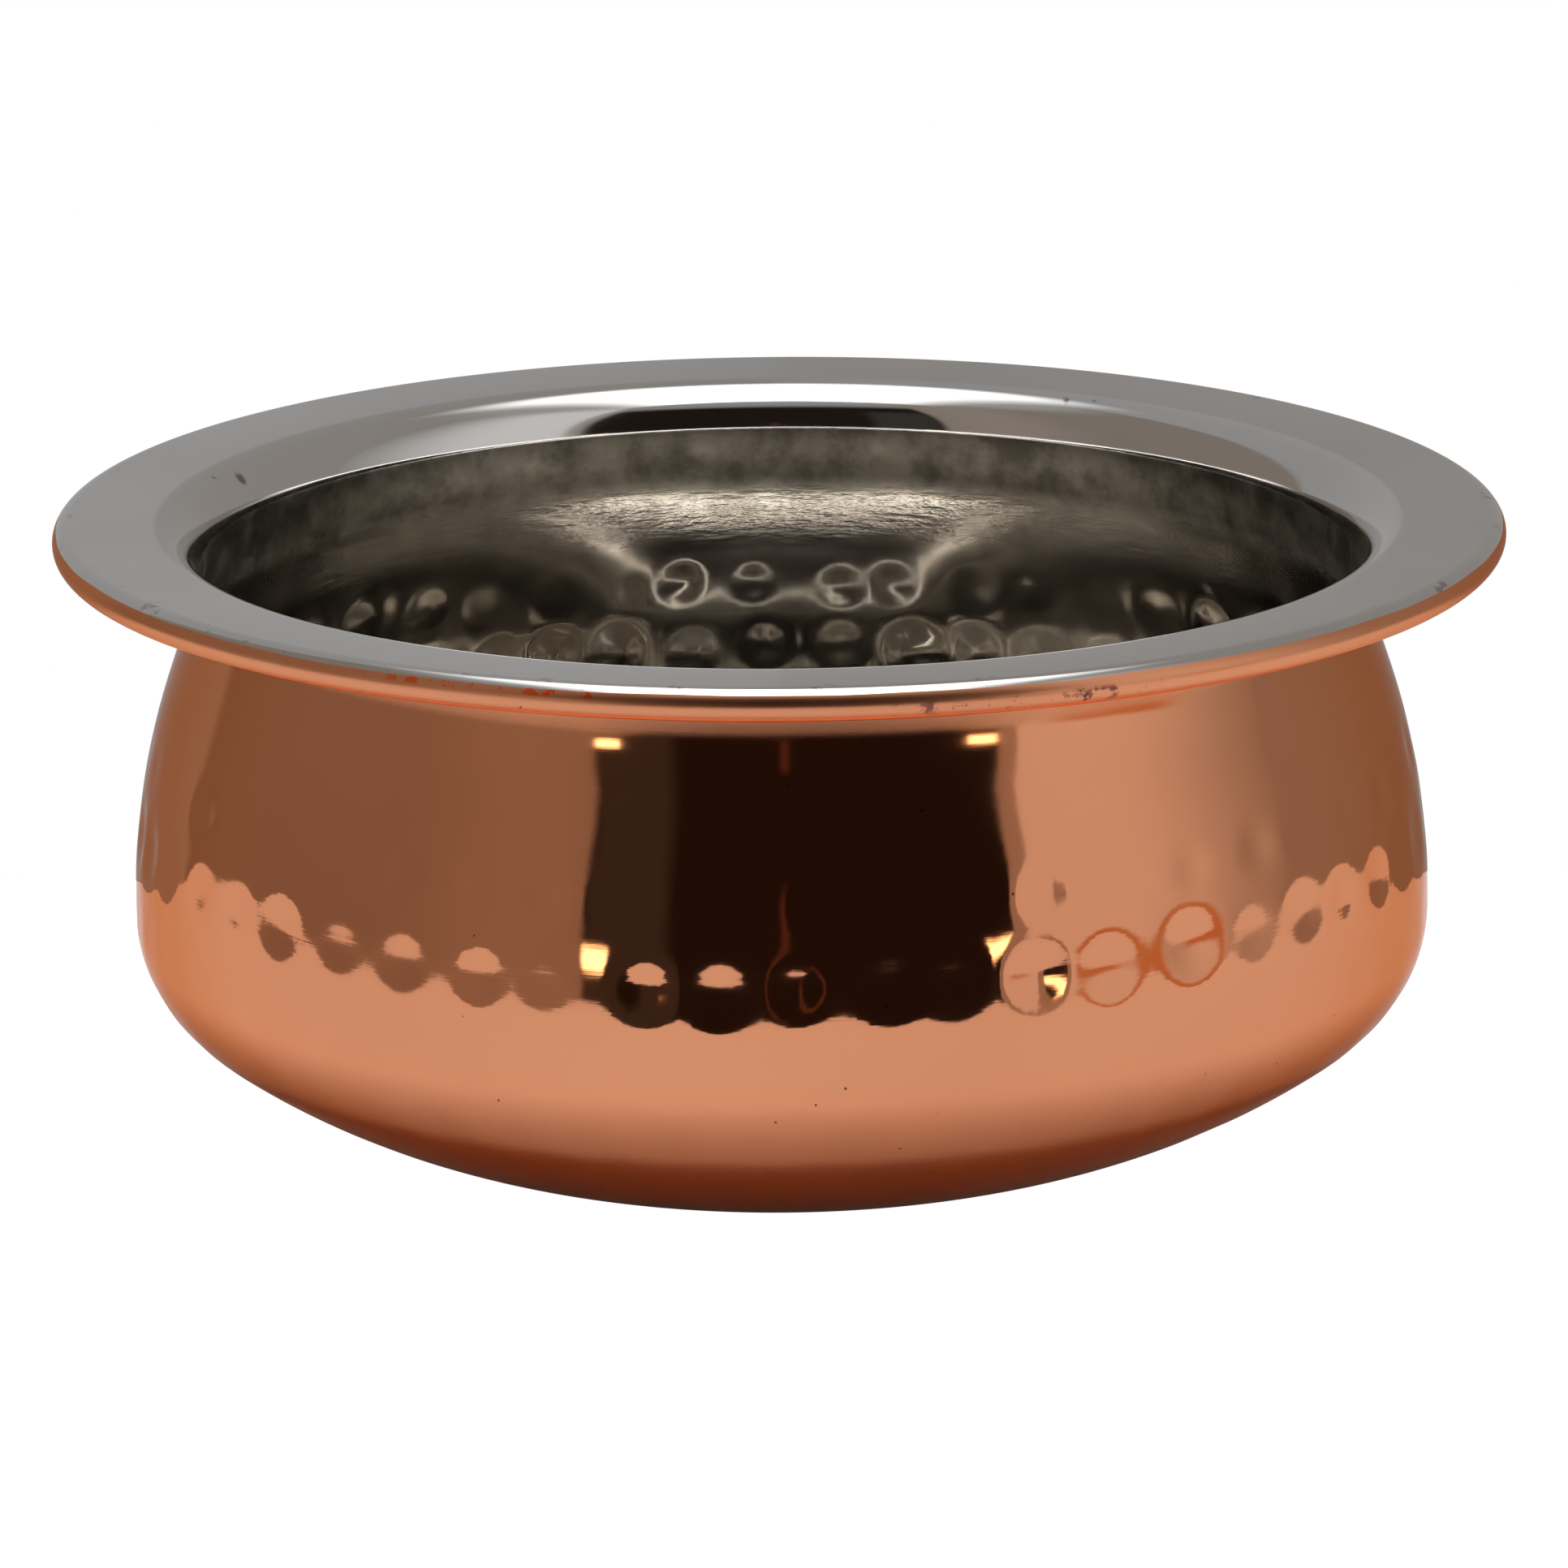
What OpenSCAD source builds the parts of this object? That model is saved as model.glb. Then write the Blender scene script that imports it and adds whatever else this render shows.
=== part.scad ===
// Round-bellied serving bowl with a wide flat flange.
// Two spun sheets make the wall: a copper jacket outside and a steel liner inside.
// Both sheets run out into the flange and close around a wire in its outer edge.
// The axis of the bowl is Z, the base rests on Z = 0 and the origin is its centre.

/* [Bowl] */
// Diameter over the bead of the flange
flange_d = 150; // [146:1:160]
// Height from the base to the top of the bead
height = 66.1; // [62:0.1:72]
// Diameter of the belly at its widest
belly_d = 135.3; // [132:0.1:138]
// Height of the widest part of the belly
belly_z = 24.4; // [22:0.1:28]
// Radius of the lower curve, between the belly and the underside
lower_r = 13; // [10:0.1:18]
// Diameter of the flat on which the bowl rests
base_d = 42; // [36:1:56]
// Roundness of the side above the belly, where 1 leaves no straight stretch
side_round = 0.99; // [0.7:0.005:0.995]
// Share of that roundness in the bulge, with the rest in the neck
bulge_share = 0.76; // [0.4:0.01:0.9]

/* [Flange] */
// Outer diameter of the throat, under the flange
throat_d = 122.2; // [120:0.1:124]
// Outer radius of the roll from the throat into the flange
roll_r = 4.3; // [3:0.1:6]
// Rise of the flange towards its edge, in degrees
flange_rise = 3.7; // [0:0.1:5]
// Diameter of the bead around the edge
bead_d = 3.4; // [2.8:0.1:3.8]
// How far past the top of the bead the steel reaches, in degrees
steel_lap = 54; // [30:1:75]

/* [Sheets] */
// Thickness of the copper sheet
copper_t = 0.5; // [0.4:0.05:0.6]
// Thickness of the steel sheet
steel_t = 0.5; // [0.4:0.05:0.6]

/* [Hidden] */

belly_r = belly_d / 2;
base_r = base_d / 2;
throat_r = throat_d / 2;
bead_r = bead_d / 2;
wall_t = copper_t + steel_t;

// The wire fills the bead inside the steel that laps over it
wire_r = bead_r - steel_t;
wire_gap = 0.01;

// The flange lies along flange_dir, and flange_up is square to it
flange_dir = [cos(flange_rise), sin(flange_rise)];
flange_up = [-sin(flange_rise), cos(flange_rise)];

// Length along the flange from the roll to the bead, both taken at their centres
bead_drop = roll_r + wall_t - bead_r;
flange_l = (flange_d / 2 - bead_r - throat_r - roll_r + bead_drop * flange_dir[1]) / flange_dir[0];
throat_z = height - bead_r - bead_drop * flange_dir[0] - flange_l * flange_dir[1];
roll_c = [throat_r + roll_r, throat_z];
bead_c = roll_c + bead_drop * flange_up + flange_l * flange_dir;

// The side is a convex arc, a straight stretch and a concave arc that is upright at the throat
side_w = belly_r - throat_r;
side_h = throat_z - belly_z;
side_r = side_round * (pow(side_h, 2) + pow(side_w, 2)) / (2 * side_w);
bulge_r = side_r * bulge_share;
neck_r = side_r - bulge_r;
bulge_c = [belly_r - bulge_r, belly_z];
neck_c = [throat_r + neck_r, throat_z];
straight_l = sqrt(pow(side_r - side_w, 2) + pow(side_h, 2) - pow(side_r, 2));
side_a = atan2(side_h, side_r - side_w) - atan2(straight_l, side_r);

// The underside is one shallow arc that meets the flat and the lower curve smoothly
lower_c = [belly_r - lower_r, belly_z];
under_w = lower_c[0] - base_r;
under_r = (pow(under_w, 2) + pow(belly_z, 2) - pow(lower_r, 2)) / (2 * (belly_z - lower_r));
under_c = [base_r, under_r];
under_a = atan2(under_w, under_r - belly_z);

// Angles at the bead, from the direction of the flange
lap_a = 90 - steel_lap;
tuck_a = 125;
under_bead_a = 180 - asin((bead_r - wall_t) / bead_r);

// Straight pieces in each round stretch
body_steps = 10;
bead_steps = 20;
round_fn = 180;

// Points on an arc, without its first one
function arc(c, r, from, to, steps) =
    [for (i = [1 : steps]) let(a = from + (to - from) * i / steps) c + r * [cos(a), sin(a)]];

// A point at the bead, at an angle from the direction of the flange
function bead_point(r, a) = bead_c + r * (cos(a) * flange_dir + sin(a) * flange_up);

function bead_arc(r, from, to) =
    [for (i = [0 : bead_steps]) bead_point(r, from + (to - from) * i / bead_steps)];

function backwards(points) = [for (i = [len(points) - 1 : -1 : 0]) points[i]];

// The wall from the axis to the flange, at a depth below the outer copper face
function wall_line(depth) = concat(
    [[0, depth], [base_r, depth]],
    arc(under_c, under_r - depth, -90, under_a - 90, body_steps),
    arc(lower_c, lower_r - depth, under_a - 90, 0, body_steps),
    arc(bulge_c, bulge_r - depth, 0, side_a, body_steps),
    [neck_c - (neck_r + depth) * [cos(side_a), sin(side_a)]],
    arc(neck_c, neck_r + depth, 180 + side_a, 180, body_steps),
    arc(roll_c, roll_r + depth, 180, 90 + flange_rise, body_steps));

// Stainless bowl and flange, whose edge laps over the top of the bead
module steel_liner() {
    color("lightgray")
        rotate_extrude($fn = round_fn)
            polygon(concat(
                wall_line(copper_t),
                bead_arc(wire_r, 90, lap_a),
                bead_arc(bead_r, lap_a, 90),
                backwards(wall_line(wall_t))));
}

// Copper skin of the body and of the flange's underside, wrapped round the bead from below
module copper_jacket() {
    color("peru")
        rotate_extrude($fn = round_fn)
            polygon(concat(
                wall_line(0),
                bead_arc(bead_r, under_bead_a, 360 + lap_a),
                bead_arc(wire_r, 360 + lap_a, tuck_a),
                [bead_point(wire_r / sin(tuck_a), tuck_a)],
                backwards(wall_line(copper_t))));
}

// Wire that stiffens the edge, closed in by both sheets
module rim_wire() {
    color("gray")
        rotate_extrude($fn = round_fn)
            translate(bead_c)
                circle(r = wire_r - wire_gap, $fn = bead_steps);
}

steel_liner();
copper_jacket();
rim_wire();
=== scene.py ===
# Looks of the hammered copper serving bowl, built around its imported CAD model.
# Lengths are in metres in the CAD frame: +Z up, the base resting on Z = 0.
import math

import bpy
import numpy as np
from mathutils import Matrix, Vector

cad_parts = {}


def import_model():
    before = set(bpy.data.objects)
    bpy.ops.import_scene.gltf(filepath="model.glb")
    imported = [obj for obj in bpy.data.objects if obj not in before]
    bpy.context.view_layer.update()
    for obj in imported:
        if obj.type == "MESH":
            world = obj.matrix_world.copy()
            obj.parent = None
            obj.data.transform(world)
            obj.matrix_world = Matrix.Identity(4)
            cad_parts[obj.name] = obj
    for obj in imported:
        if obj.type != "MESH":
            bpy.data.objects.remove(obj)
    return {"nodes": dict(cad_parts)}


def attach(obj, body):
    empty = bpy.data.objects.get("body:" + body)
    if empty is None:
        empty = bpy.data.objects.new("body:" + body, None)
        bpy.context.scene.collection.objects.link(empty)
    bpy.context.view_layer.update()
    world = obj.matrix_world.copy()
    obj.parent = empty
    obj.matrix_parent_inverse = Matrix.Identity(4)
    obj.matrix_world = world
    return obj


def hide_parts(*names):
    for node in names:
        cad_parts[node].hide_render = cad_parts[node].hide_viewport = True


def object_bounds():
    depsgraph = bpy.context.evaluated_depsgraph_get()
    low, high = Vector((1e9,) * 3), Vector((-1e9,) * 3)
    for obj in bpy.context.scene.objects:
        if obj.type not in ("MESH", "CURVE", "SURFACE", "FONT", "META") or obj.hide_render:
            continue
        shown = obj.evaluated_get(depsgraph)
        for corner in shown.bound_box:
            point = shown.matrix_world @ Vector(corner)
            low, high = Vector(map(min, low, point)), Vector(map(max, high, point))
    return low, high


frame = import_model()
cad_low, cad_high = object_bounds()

MM = 0.001

# ---------------------------------------------------------------- sizes

# The wall's own dimensions, as in the CAD model. Its height and radius come from the frame.
RIM_R = cad_high.x
HEIGHT = cad_high.z
BELLY_R, BELLY_Z = 67.65 * MM, 24.4 * MM
BASE_R = 21.0 * MM
LOWER_R = 13.0 * MM
THROAT_R = 61.1 * MM
ROLL_R = 4.3 * MM
BEAD_R = 1.7 * MM
SHEET_T = 0.5 * MM
SIDE_ROUND, BULGE_SHARE = 0.99, 0.76
FLANGE_RISE = math.radians(3.7)
STEEL_LAP = math.radians(54)

WALL_T = 2 * SHEET_T
WIRE_R = BEAD_R - SHEET_T

# Faces around each sheet
COLUMNS = 424


def direction(angle):
    return np.array([math.cos(angle), math.sin(angle)])


# ---------------------------------------------------------------- section of the wall

def section():
    """The copper's outer face from the axis out: its points (r, z) and outward normals.

    The bead's centre and the directions along and square to the flange come with them.
    """
    along, up = direction(FLANGE_RISE), direction(FLANGE_RISE + math.pi / 2)
    drop = ROLL_R + WALL_T - BEAD_R
    flange_l = (RIM_R - BEAD_R - THROAT_R - ROLL_R - drop * up[0]) / along[0]
    throat_z = HEIGHT - BEAD_R - drop * up[1] - flange_l * along[1]
    roll_c = np.array([THROAT_R + ROLL_R, throat_z])
    bead_c = roll_c + drop * up + flange_l * along

    side_w, side_h = BELLY_R - THROAT_R, throat_z - BELLY_Z
    side_r = SIDE_ROUND * (side_h ** 2 + side_w ** 2) / (2 * side_w)
    bulge_r = side_r * BULGE_SHARE
    neck_r = side_r - bulge_r
    straight = math.sqrt((side_r - side_w) ** 2 + side_h ** 2 - side_r ** 2)
    side_a = math.atan2(side_h, side_r - side_w) - math.atan2(straight, side_r)
    bulge_c = np.array([BELLY_R - bulge_r, BELLY_Z])
    neck_c = np.array([THROAT_R + neck_r, throat_z])

    lower_c = np.array([BELLY_R - LOWER_R, BELLY_Z])
    under_w = lower_c[0] - BASE_R
    under_r = (under_w ** 2 + BELLY_Z ** 2 - LOWER_R ** 2) / (2 * (BELLY_Z - LOWER_R))
    under_c = np.array([BASE_R, under_r])
    under_a = math.atan2(under_w, under_r - BELLY_Z)

    down, half = -math.pi / 2, math.pi
    points, normals = [np.zeros(2)], [np.array([0.0, -1.0])]

    def flat(end, normal, steps):
        start = points[-1]
        for i in range(1, steps + 1):
            points.append(start + (end - start) * i / steps)
            normals.append(normal)

    def arc(centre, radius, start, stop, steps, side=1):
        for i in range(1, steps + 1):
            ray = direction(start + (stop - start) * i / steps)
            points.append(centre + radius * ray)
            normals.append(side * ray)

    flat(np.array([BASE_R, 0.0]), np.array([0.0, -1.0]), 6)
    arc(under_c, under_r, down, down + under_a, 42)
    arc(lower_c, LOWER_R, down + under_a, 0, 16)
    arc(bulge_c, bulge_r, 0, side_a, 26)
    flat(neck_c - neck_r * direction(side_a), direction(side_a), 8)
    arc(neck_c, neck_r, half + side_a, half, 10, -1)
    arc(roll_c, ROLL_R, half, half / 2 + FLANGE_RISE, 14, -1)
    return np.array(points), np.array(normals), bead_c, along, up


POINTS, NORMALS, BEAD_C, ALONG, UP = section()
LENGTHS = np.concatenate([[0], np.cumsum(np.hypot(*np.diff(POINTS, axis=0).T))])
THETA = np.arange(COLUMNS) * 2 * math.pi / COLUMNS


# ---------------------------------------------------------------- hammer dents

# Rings of dents: height, how many, their mean radius and how hard the blows were, 0 to 1.
# The two upper rings are struck hard. The lower ones are slight waves.
RINGS = [
    (42.2 * MM, 50, 3.4 * MM, 0.85),
    (34.2 * MM, 52, 4.1 * MM, 1.00),
    (25.5 * MM, 52, 4.3 * MM, 0.24),
    (17.0 * MM, 48, 4.6 * MM, 0.20),
    (9.0 * MM, 40, 4.6 * MM, 0.16),
]
# Radius of the hammer's domed face
HAMMER_R = 13 * MM


def dent_field():
    """How far the wall is pushed inwards, for each row of the section and each column around it."""
    rng = np.random.default_rng(7)
    depth = np.zeros((len(POINTS), COLUMNS))
    above_base = POINTS[:, 1] > 1e-6
    heights = POINTS[above_base, 1]
    for height, count, size, force in RINGS:
        centre_l = np.interp(height, heights, LENGTHS[above_base])
        radius = np.interp(height, heights, POINTS[above_base, 0])
        offset = rng.uniform(0, 2 * math.pi)
        for k in range(count):
            angle = offset + (k + rng.uniform(-0.18, 0.18)) * 2 * math.pi / count
            middle = centre_l + rng.uniform(-0.5, 0.5) * MM
            dent_r = size * rng.uniform(0.82, 1.14)
            blow = force * rng.uniform(0.35, 1.15)
            turn = (THETA - angle + math.pi) % (2 * math.pi) - math.pi
            far = ((turn[None, :] * radius) ** 2 + (LENGTHS[:, None] - middle) ** 2) / dent_r ** 2
            dent = np.clip(1 - far, 0, None) ** 2 * dent_r ** 2 / (4 * HAMMER_R) * blow
            depth = np.maximum(depth, dent)
    return depth


DENTS = dent_field()


# ---------------------------------------------------------------- meshes

SHARP_ANGLE = math.radians(40)
# Where the copper's edge ends inside the bead, as an angle from the direction of the flange
TUCK_ANGLE = math.radians(125)


def wall_rows(depth, step=1):
    """Rows of (r, z) on the wall at a depth below the copper's face, from the axis to the flange.

    With a step above 1 only every step-th row is kept, for the faces hidden between the sheets.
    """
    rows = list(range(0, len(POINTS), step))
    if rows[-1] != len(POINTS) - 1:
        rows.append(len(POINTS) - 1)
    inward = depth + DENTS[rows]
    return POINTS[rows][:, None, :] - NORMALS[rows][:, None, :] * inward[:, :, None]


def bead_rows(radius, start, stop, steps):
    """Rows around the bead. start and stop are angles, each one number or one for every column."""
    t = np.linspace(0, 1, steps + 1)[:, None]
    angle = (1 - t) * np.broadcast_to(start, COLUMNS) + t * np.broadcast_to(stop, COLUMNS)
    return BEAD_C + radius * (np.cos(angle)[..., None] * ALONG + np.sin(angle)[..., None] * UP)


def seam_angle():
    """Where the steel ends on the bead, a little uneven around the rim."""
    wobble = 0
    for waves, degrees, phase in ((3, 1.6, 0.4), (7, 1.3, 2.1), (19, 0.9, 4.0), (43, 0.7, 1.2)):
        wobble = wobble + degrees * np.sin(waves * THETA + phase)
    return math.pi / 2 - STEEL_LAP + np.radians(wobble)


def revolve(name, rows):
    """A closed mesh from rows of (r, z), the first and last of which lie on the axis."""
    inner = rows[1:-1]
    ring = np.stack([
        inner[..., 0] * np.sin(THETA),
        -inner[..., 0] * np.cos(THETA),
        inner[..., 1]], axis=-1).reshape(-1, 3)
    first = (0.0, 0.0, rows[0, :, 1].mean())
    last = (0.0, 0.0, rows[-1, :, 1].mean())
    verts = np.concatenate([ring, [first, last]])
    start, end = len(ring), len(ring) + 1
    top = (len(inner) - 1) * COLUMNS
    faces = []
    for i in range(COLUMNS):
        j = (i + 1) % COLUMNS
        faces.append((start, j, i))
        faces.append((end, top + i, top + j))
        for row in range(len(inner) - 1):
            a = row * COLUMNS
            faces.append((a + i, a + j, a + COLUMNS + j, a + COLUMNS + i))
    mesh = bpy.data.meshes.new(name)
    mesh.from_pydata(verts.tolist(), [], faces)
    mesh.update()
    mesh.shade_smooth()
    mesh.set_sharp_from_angle(angle=SHARP_ANGLE)
    piece = bpy.data.objects.new(name, mesh)
    bpy.context.scene.collection.objects.link(piece)
    return piece


def steel_liner():
    """The liner from its outer face, round the top of the bead and back along its inner face."""
    lap = seam_angle()
    return revolve("steel_liner_hammered", np.concatenate([
        wall_rows(SHEET_T, 2),
        bead_rows(WIRE_R, math.pi / 2, lap, 6),
        bead_rows(BEAD_R, lap, math.pi / 2, 10),
        wall_rows(WALL_T)[::-1]]))


def copper_jacket():
    """The jacket from its outer face, round the bead to the tuck and back along its inner face."""
    lap = seam_angle()
    under_bead = math.pi - math.asin((BEAD_R - WALL_T) / BEAD_R)
    return revolve("copper_jacket_hammered", np.concatenate([
        wall_rows(0),
        bead_rows(BEAD_R, under_bead, 2 * math.pi + lap, 26),
        bead_rows(WIRE_R, 2 * math.pi + lap, TUCK_ANGLE, 20),
        bead_rows(WIRE_R / math.sin(TUCK_ANGLE), TUCK_ANGLE, TUCK_ANGLE, 0),
        wall_rows(SHEET_T, 2)[::-1]]))


# ---------------------------------------------------------------- materials

# Colours: the metals with their duller patches, then what marks them
COPPER, COPPER_DULL, COPPER_EDGE = (0.74, 0.31, 0.165), (0.70, 0.285, 0.15), (0.80, 0.52, 0.40, 1)
COPPER_PIT, COPPER_RED, COPPER_MARK = (0.16, 0.06, 0.035), (0.86, 0.13, 0.03), (0.15, 0.055, 0.05)
STEEL, STEEL_DULL = (0.60, 0.582, 0.565), (0.57, 0.55, 0.53)
STEEL_WORN, STEEL_SPOT = (0.20, 0.13, 0.10), (0.17, 0.14, 0.12)
BOWL, BOWL_STAIN = (0.60, 0.565, 0.51), (0.44, 0.405, 0.355)
# Painted shade: the neck's steel, under the rolled rim, is coloured far darker than steel, and the second
# colour is its darker mottling
NECK_PAINTED_SHADE, NECK_PAINTED_SHADE_STAINED = (0.22, 0.20, 0.17), (0.10, 0.09, 0.075)
WIRE, WIRE_DULL = (0.36, 0.35, 0.34), (0.5, 0.49, 0.47)
# Spots on the flange, in millimetres: x, y and radius
SPOTS = ((-57.5, 22.8, 0.9), (-60.0, 19.5, 0.5), (32.0, 54.3, 0.8), (35.0, 53.0, 0.5))


def shader_tree(name):
    """A new material with one Principled shader: the material, its node tree and the shader."""
    material = bpy.data.materials.new(name)
    material.use_nodes = True
    tree = material.node_tree
    tree.nodes.clear()
    out = tree.nodes.new("ShaderNodeOutputMaterial")
    shader = tree.nodes.new("ShaderNodeBsdfPrincipled")
    tree.links.new(shader.outputs["BSDF"], out.inputs["Surface"])
    return material, tree, shader


def noise(tree, scale, detail=2.0, stretch=(1, 1, 1), rough=0.5):
    """Noise over the piece's own coordinates, in cycles per metre, stretched along each axis."""
    where = tree.nodes.new("ShaderNodeTexCoord")
    mapping = tree.nodes.new("ShaderNodeMapping")
    mapping.inputs["Scale"].default_value = stretch
    texture = tree.nodes.new("ShaderNodeTexNoise")
    texture.inputs["Scale"].default_value = scale
    texture.inputs["Detail"].default_value = detail
    texture.inputs["Roughness"].default_value = rough
    tree.links.new(where.outputs["Object"], mapping.inputs["Vector"])
    tree.links.new(mapping.outputs["Vector"], texture.inputs["Vector"])
    return texture.outputs["Fac"]


def ramp(tree, value, low, high, to_low, to_high):
    """value from low..high carried to to_low..to_high, smoothly and without overshoot."""
    node = tree.nodes.new("ShaderNodeMapRange")
    node.interpolation_type = "SMOOTHSTEP"
    for socket, number in (("From Min", low), ("From Max", high), ("To Min", to_low), ("To Max", to_high)):
        node.inputs[socket].default_value = number
    tree.links.new(value, node.inputs["Value"])
    return node.outputs["Result"]


def specks(tree, scale, size):
    """A mask of small scattered spots: 1 inside a spot."""
    where = tree.nodes.new("ShaderNodeTexCoord")
    cells = tree.nodes.new("ShaderNodeTexVoronoi")
    cells.inputs["Scale"].default_value = scale
    tree.links.new(where.outputs["Object"], cells.inputs["Vector"])
    return ramp(tree, cells.outputs["Distance"], size, size * 0.5, 0, 1)


def blend_colour(tree, fac, a, b):
    """Colour a where fac is 0 and b where it is 1. Each is a tuple or a socket."""
    node = tree.nodes.new("ShaderNodeMix")
    node.data_type = "RGBA"
    tree.links.new(fac, node.inputs["Factor"])
    for socket, colour in ((node.inputs["A"], a), (node.inputs["B"], b)):
        if isinstance(colour, tuple):
            socket.default_value = (*colour, 1)
        else:
            tree.links.new(colour, socket)
    return node.outputs["Result"]


def bump(tree, shader, height, distance, before=None):
    """Fine relief on the shader, over the relief called before. distance is its full height."""
    node = tree.nodes.new("ShaderNodeBump")
    node.inputs["Distance"].default_value = distance
    tree.links.new(height, node.inputs["Height"])
    if before is not None:
        tree.links.new(before, node.inputs["Normal"])
    tree.links.new(node.outputs["Normal"], shader.inputs["Normal"])
    return node.outputs["Normal"]


def maths(tree, operation, *values):
    """The operation on one or two values, each a number or a socket."""
    node = tree.nodes.new("ShaderNodeMath")
    node.operation = operation
    for socket, value in zip(node.inputs, values):
        if isinstance(value, (int, float)):
            socket.default_value = value
        else:
            tree.links.new(value, socket)
    return node.outputs["Value"]


def times(tree, a, b):
    return maths(tree, "MULTIPLY", a, b)


def within(tree, value, low, high, soft):
    """1 where value is between low and high, fading out over soft to both sides."""
    rise = ramp(tree, value, low - soft, low + soft, 0, 1)
    return times(tree, rise, ramp(tree, value, high - soft, high + soft, 1, 0))


def object_axes(tree):
    """The piece's own x, y and z, in metres."""
    where = tree.nodes.new("ShaderNodeTexCoord")
    split = tree.nodes.new("ShaderNodeSeparateXYZ")
    tree.links.new(where.outputs["Object"], split.inputs["Vector"])
    return split.outputs


def copper_material():
    """Polished, with small pits, red flecks and dark marks on the front of the bead, and a dull neck."""
    material, tree, shader = shader_tree("polished_copper")
    shader.inputs["Metallic"].default_value = 1
    shader.inputs["Specular Tint"].default_value = COPPER_EDGE
    tone = noise(tree, 22, 3)
    base = blend_colour(tree, ramp(tree, tone, 0.35, 0.7, 0, 1), COPPER, COPPER_DULL)
    pits = times(tree, specks(tree, 260, 0.05), ramp(tree, noise(tree, 45), 0.42, 0.5, 0, 1))
    base = blend_colour(tree, pits, base, COPPER_PIT)

    x, y, z = object_axes(tree)
    front = ramp(tree, y, -50 * MM, -40 * MM, 1, 0)
    seam = times(tree, front, ramp(tree, z, 64.7 * MM, 65.0 * MM, 0, 1))
    flecks = ramp(tree, noise(tree, 520, 3, rough=0.7), 0.52, 0.57, 0, 1)
    red = times(tree, times(tree, seam, flecks), within(tree, x, -38 * MM, -14 * MM, 4 * MM))
    base = blend_colour(tree, red, base, COPPER_RED)
    band = times(tree, front, within(tree, z, 63.2 * MM, 64.6 * MM, 0.3 * MM))
    marks = times(tree, band, ramp(tree, noise(tree, 300, 4, rough=0.7), 0.53, 0.62, 0, 1))
    marks = times(tree, marks, within(tree, x, 12 * MM, 34 * MM, 4 * MM))
    base = blend_colour(tree, marks, base, COPPER_MARK)
    tree.links.new(base, shader.inputs["Base Color"])

    haze = ramp(tree, noise(tree, 60, 4), 0.3, 0.75, 0.035, 0.08)
    neck = ramp(tree, z, 57.2 * MM, 58.6 * MM, 0, 0.24)
    tree.links.new(maths(tree, "ADD", haze, neck), shader.inputs["Roughness"])
    lines = noise(tree, 1, 2, (25, 25, 5200))
    first = bump(tree, shader, lines, 0.0011 * MM)
    second = bump(tree, shader, noise(tree, 1, 2, (130, 130, 850)), 0.004 * MM, first)
    bump(tree, shader, noise(tree, 900, 3), 0.0012 * MM, second)
    return material


def steel_material():
    """Polished on the flange and low in the bowl, satin in the neck and hatched under it. The neck's
    colour is painted shade.
    """
    material, tree, shader = shader_tree("polished_steel")
    shader.inputs["Metallic"].default_value = 1
    x, y, z = object_axes(tree)
    radius = maths(tree, "SQRT", maths(tree, "ADD", times(tree, x, x), times(tree, y, y)))
    below_flange = ramp(tree, z, 60.7 * MM, 60.9 * MM, 1, 0)
    inner = times(tree, below_flange, ramp(tree, radius, 66.4 * MM, 66.8 * MM, 1, 0))
    # The neck zone: real satin roughness and relief, and painted shade in its colour
    satin_and_painted_shade = times(tree, inner, ramp(tree, z, 52.5 * MM, 55.5 * MM, 0, 1))
    hatched = times(tree, inner, within(tree, z, 47.5 * MM, 54 * MM, 1.6 * MM))

    tone = noise(tree, 30, 3)
    flange = blend_colour(tree, ramp(tree, tone, 0.35, 0.7, 0, 1), STEEL, STEEL_DULL)
    stain = ramp(tree, noise(tree, 160, 4, rough=0.65), 0.35, 0.7, 0, 1)
    bowl = blend_colour(tree, stain, BOWL, BOWL_STAIN)
    # Painted shade: the neck is coloured far darker than the bowl, mottled by the stain noise
    neck = blend_colour(tree, stain, NECK_PAINTED_SHADE, NECK_PAINTED_SHADE_STAINED)
    bowl = blend_colour(tree, satin_and_painted_shade, bowl, neck)
    worn = times(tree, ramp(tree, radius, 71.5 * MM, 73.5 * MM, 0, 1),
                 ramp(tree, noise(tree, 330, 4, rough=0.7), 0.60, 0.70, 0, 0.6))
    flange = blend_colour(tree, worn, flange, STEEL_WORN)
    for spot_x, spot_y, size in SPOTS:
        dx = maths(tree, "SUBTRACT", x, spot_x * MM)
        dy = times(tree, maths(tree, "SUBTRACT", y, spot_y * MM), 0.8)
        away = maths(tree, "SQRT", maths(tree, "ADD", times(tree, dx, dx), times(tree, dy, dy)))
        ragged = maths(tree, "ADD", away, times(tree, noise(tree, 700, 3), 1.2 * MM))
        spot = ramp(tree, ragged, size * MM, (size + 0.5) * MM, 0.9, 0)
        flange = blend_colour(tree, spot, flange, STEEL_SPOT)
    base = blend_colour(tree, inner, flange, bowl)
    tree.links.new(base, shader.inputs["Base Color"])

    polish = ramp(tree, noise(tree, 80, 4), 0.3, 0.75, 0.05, 0.10)
    haze = times(tree, satin_and_painted_shade, ramp(tree, noise(tree, 240, 3), 0.3, 0.7, 0.22, 0.36))
    rough = maths(tree, "ADD", maths(tree, "ADD", polish, haze), times(tree, hatched, 0.06))
    tree.links.new(rough, shader.inputs["Roughness"])
    lines = noise(tree, 1, 2, (25, 25, 4200))
    first = bump(tree, shader, lines, 0.0008 * MM)
    hatch = times(tree, hatched, noise(tree, 1, 3, (330, 330, 1500), 0.6))
    second = bump(tree, shader, hatch, 0.050 * MM, first)
    bump(tree, shader, times(tree, satin_and_painted_shade, noise(tree, 900, 3)), 0.012 * MM, second)
    return material


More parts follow.
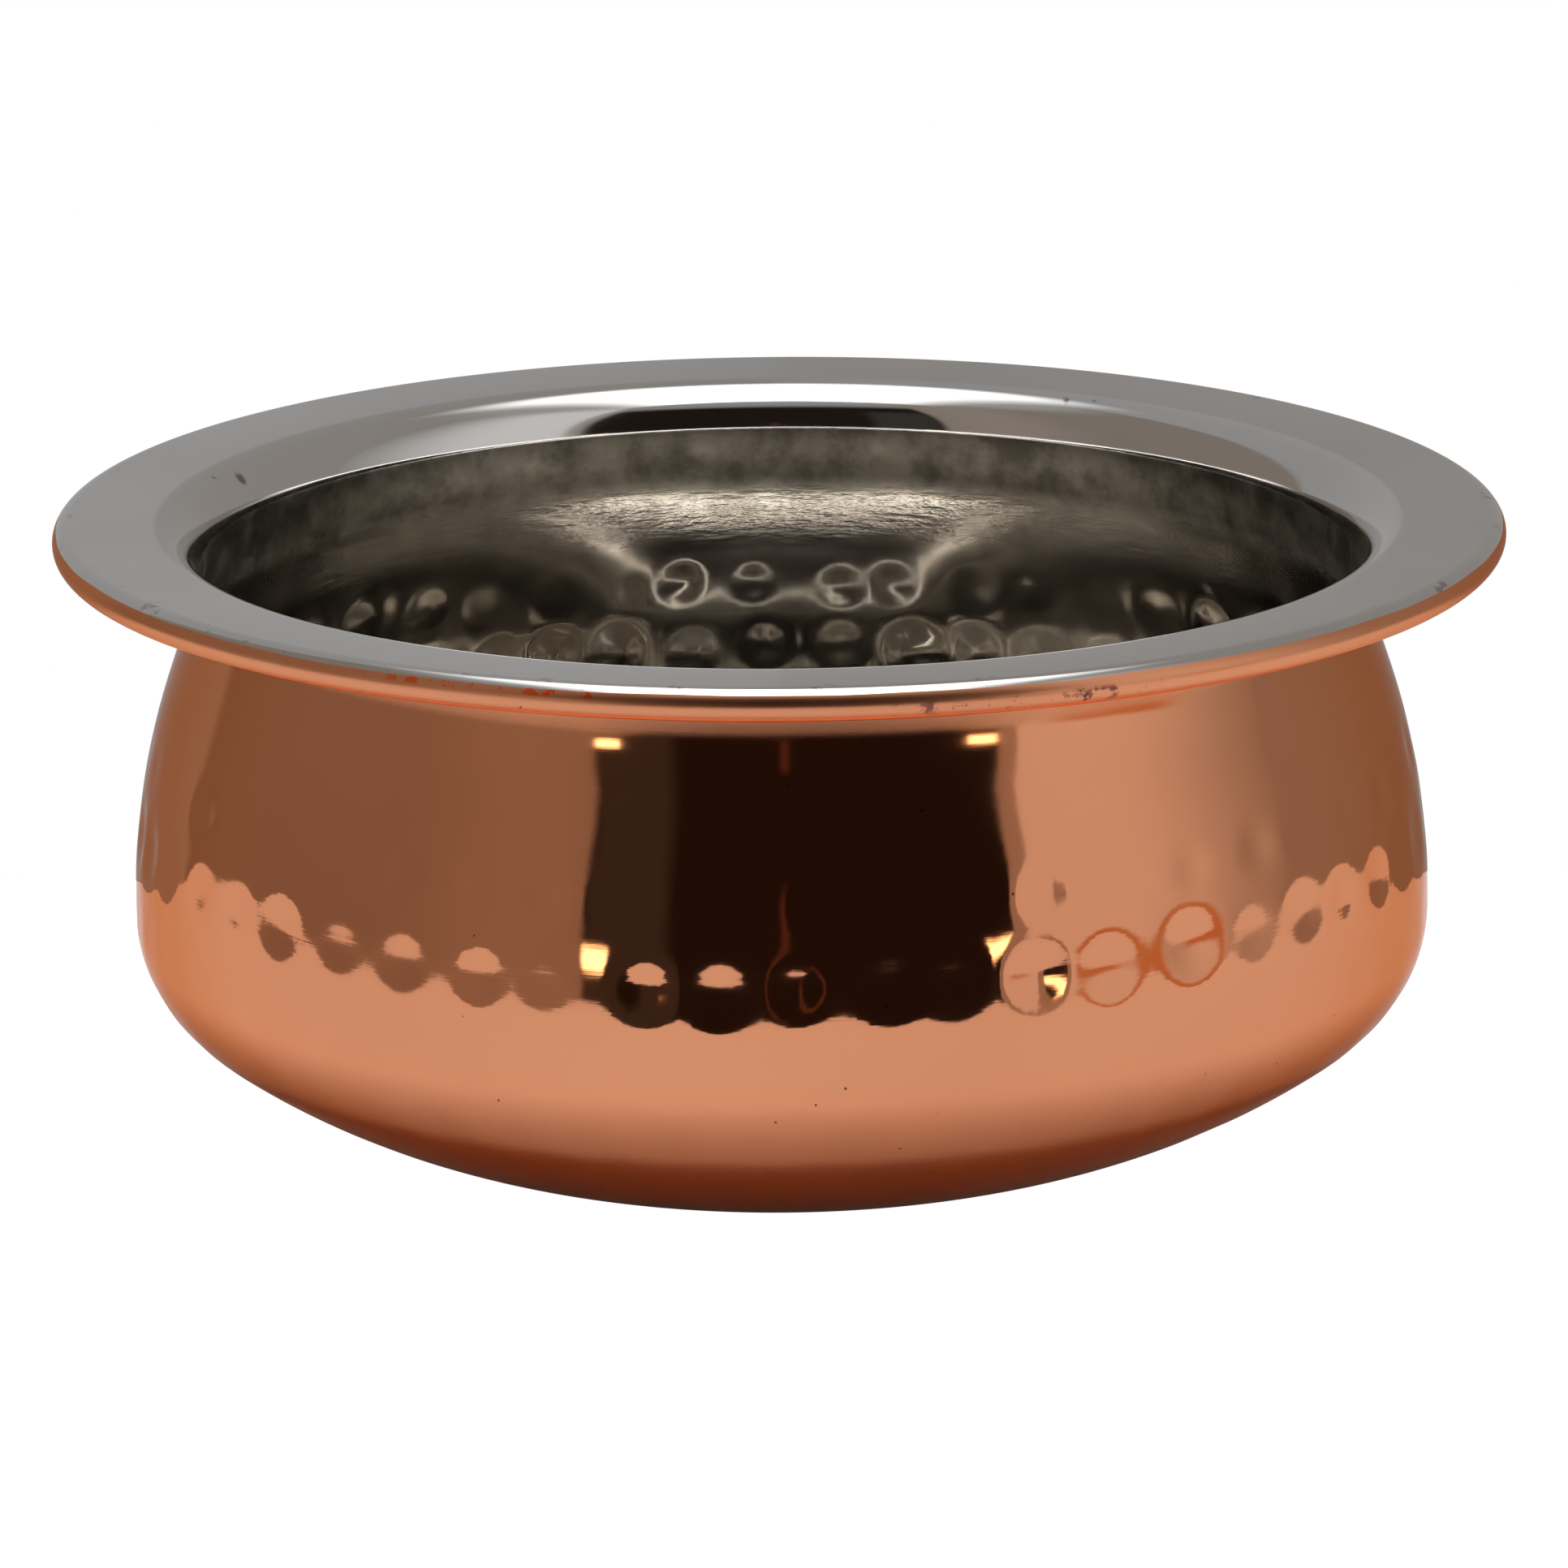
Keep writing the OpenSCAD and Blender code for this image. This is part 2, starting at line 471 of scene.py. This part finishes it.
def wire_material():
    """Plain drawn steel, closed in by both sheets."""
    material, tree, shader = shader_tree("drawn_wire")
    shader.inputs["Metallic"].default_value = 1
    tree.links.new(blend_colour(tree, noise(tree, 700, 3), WIRE, WIRE_DULL), shader.inputs["Base Color"])
    tree.links.new(ramp(tree, noise(tree, 900, 2), 0.3, 0.7, 0.3, 0.5), shader.inputs["Roughness"])
    return material


# ---------------------------------------------------------------- pieces

def place(piece, node, material):
    """Puts the piece in place of a CAD node, on the one rigid body."""
    piece.data.materials.append(material)
    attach(piece, "root")
    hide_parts(node)


place(steel_liner(), "steel_liner", steel_material())
place(copper_jacket(), "copper_jacket", copper_material())
wire = frame["nodes"]["rim_wire"]
wire.data.materials.clear()
wire.data.materials.append(wire_material())


# ---------------------------------------------------------------- surroundings

# The paper as the metal mirrors it
PAPER = (0.59, 0.59, 0.59, 1)


def floor():
    """White paper on a table, plain white to the camera: its shadow shows only in the metal."""
    side, near, far = 0.33, -0.342, 0.09
    corners = [(-side, near, 0), (side, near, 0), (side, far, 0), (-side, far, 0)]
    mesh = bpy.data.meshes.new("floor")
    mesh.from_pydata(corners, [], [(0, 1, 2, 3)])
    sheet = bpy.data.objects.new("floor", mesh)
    bpy.context.scene.collection.objects.link(sheet)
    material, tree, shader = shader_tree("white_paper")
    shader.inputs["Base Color"].default_value = PAPER
    shader.inputs["Roughness"].default_value = 0.9
    shader.inputs["Specular IOR Level"].default_value = 0.1
    shader.inputs["Emission Color"].default_value = (1, 1, 1, 1)
    path = tree.nodes.new("ShaderNodeLightPath")
    tree.links.new(ramp(tree, path.outputs["Is Camera Ray"], 0, 1, 0.02, 1.0),
                   shader.inputs["Emission Strength"])
    mesh.materials.append(material)


# The studio as the metal mirrors it. Angles are in degrees: the turn from the camera's side towards +X,
# and the height above the horizon. Each later patch covers the ones before it.
PATCHES = [
    # low turn, high turn, low height, high height, turn softness, height softness, colour, brightness
    (-180, -128, -90, 90, 4, 4, (1.00, 1.00, 1.00), 0.42),
    (-128, -34, -90, 60, 2, 6, (1.00, 0.86, 0.74), 0.30),
    (-62, -34, -90, 60, 14, 6, (1.00, 0.86, 0.74), 0.36),
    (44, 100, -90, 60, 1, 8, (1.00, 1.00, 1.00), 0.84),
    (84, 180, -90, 90, 24, 4, (1.00, 0.95, 0.90), 0.36),
    (-34.5, 41, -90, 52, 1, 4, (1.00, 0.70, 0.55), 0.018),
    (-34, -20, -90, 40, 2, 4, (1.00, 0.90, 0.80), 0.05),
    (41, 44.5, -90, 52, 0.5, 4, (1.00, 0.90, 0.80), 0.42),
    (0, 1.4, -5, 12, 0.4, 3, (1.00, 0.45, 0.30), 0.10),
    (52, 78, -12, -3.5, 5, 1, (1.00, 0.50, 0.20), 0.62),
    (-34.5, -30, -1, 2.5, 0.5, 1, (1.00, 0.90, 0.62), 5.0),
    (35, 40.5, -1, 2.5, 0.5, 1, (1.00, 0.90, 0.62), 5.0),
]
# The softbox's edges are its run to the back and to the side over its height above the bowl.
# Light that the metal mirrors twice or more, as inside the bowl, comes from a larger one.
SOFTBOX_FRONT, SOFTBOX_FRONT_TWICE, SOFTBOX_BACK = -0.42, -0.90, 0.52
SOFTBOX_HALF, SOFTBOX_HALF_TWICE = 0.33, 1.5
SOFTBOX_LIGHT, SOFTBOX_LIGHT_TWICE = 4.4, 4.6
CEILING_LIGHT, BACK_LIGHT = 0.46, 0.35


def world():
    """Plain white where the camera sees it, and the studio's panels where the metal mirrors it."""
    sky = bpy.data.worlds.new("studio")
    bpy.context.scene.world = sky
    sky.use_nodes = True
    tree = sky.node_tree
    tree.nodes.clear()

    where = tree.nodes.new("ShaderNodeTexCoord")
    split = tree.nodes.new("ShaderNodeSeparateXYZ")
    tree.links.new(where.outputs["Generated"], split.inputs["Vector"])
    x, y, z = split.outputs
    turn = maths(tree, "DEGREES", maths(tree, "ARCTAN2", x, times(tree, y, -1.0)))
    height = maths(tree, "DEGREES", maths(tree, "ARCSINE", z))
    path = tree.nodes.new("ShaderNodeLightPath")

    colour = (BACK_LIGHT,) * 3
    for turn_a, turn_b, height_a, height_b, turn_soft, height_soft, tint, light in PATCHES:
        mask = times(tree, within(tree, turn, turn_a, turn_b, turn_soft),
                     within(tree, height, height_a, height_b, height_soft))
        colour = blend_colour(tree, mask, colour, tuple(light * c for c in tint))
    overhead = ramp(tree, height, 56, 66, 0, 1)
    colour = blend_colour(tree, overhead, colour, (CEILING_LIGHT,) * 3)

    # The softbox is a flat panel overhead, with a crisp front edge and soft ones elsewhere
    above = maths(tree, "MAXIMUM", z, 0.05)
    across, back = maths(tree, "DIVIDE", x, above), maths(tree, "DIVIDE", y, above)
    twice = ramp(tree, path.outputs["Glossy Depth"], 1.4, 1.6, 0, 1)
    front_edge = ramp(tree, twice, 0, 1, SOFTBOX_FRONT, SOFTBOX_FRONT_TWICE)
    front = ramp(tree, maths(tree, "SUBTRACT", back, front_edge), -0.03, 0.03, 0, 1)
    panel = times(tree, front, ramp(tree, back, SOFTBOX_BACK - 0.2, SOFTBOX_BACK + 0.25, 1, 0))
    half = ramp(tree, twice, 0, 1, SOFTBOX_HALF, SOFTBOX_HALF_TWICE)
    beyond = maths(tree, "SUBTRACT", maths(tree, "ABSOLUTE", across), half)
    panel = times(tree, panel, ramp(tree, beyond, -0.26, 0.14, 1, 0))
    light = blend_colour(tree, twice, (SOFTBOX_LIGHT,) * 3, (SOFTBOX_LIGHT_TWICE,) * 3)
    colour = blend_colour(tree, panel, colour, light)

    colour = blend_colour(tree, path.outputs["Is Camera Ray"], colour, (1.0, 1.0, 1.0))
    background = tree.nodes.new("ShaderNodeBackground")
    out = tree.nodes.new("ShaderNodeOutputWorld")
    tree.links.new(colour, background.inputs["Color"])
    tree.links.new(background.outputs["Background"], out.inputs["Surface"])


def floor_light():
    """A soft overhead lamp that lights the paper as the metal mirrors it. It isn't mirrored itself."""
    lamp = bpy.data.lights.new("overhead", "AREA")
    lamp.size = 1.2
    lamp.energy = 16
    holder = bpy.data.objects.new("overhead", lamp)
    holder.location = (0, 0, 1.6)
    holder.visible_glossy = False
    bpy.context.scene.collection.objects.link(holder)


def camera():
    """Looks along +Y and down at the belly, from three quarters of a metre, a little askew."""
    elevation, distance = math.radians(16.41), 0.75
    pitch_up, yaw, roll = math.radians(0.87), math.radians(-0.024), math.radians(-0.43)
    data = bpy.data.cameras.new("camera")
    data.sensor_width = 36
    data.lens = 163.79
    data.clip_start, data.clip_end = 0.05, 20
    eye = bpy.data.objects.new("camera", data)
    target = Vector((0, 0, BELLY_Z))
    back = Vector((0, -math.cos(elevation), math.sin(elevation)))
    aim = (-back).to_track_quat("-Z", "Y").to_matrix()
    lean = (Matrix.Rotation(yaw, 3, "Y") @ Matrix.Rotation(pitch_up, 3, "X")
            @ Matrix.Rotation(roll, 3, "Z"))
    eye.matrix_world = Matrix.Translation(target + back * distance) @ (aim @ lean).to_4x4()
    bpy.context.scene.collection.objects.link(eye)
    bpy.context.scene.camera = eye


floor()
world()
floor_light()
camera()
bpy.context.scene.view_settings.view_transform = "Standard"
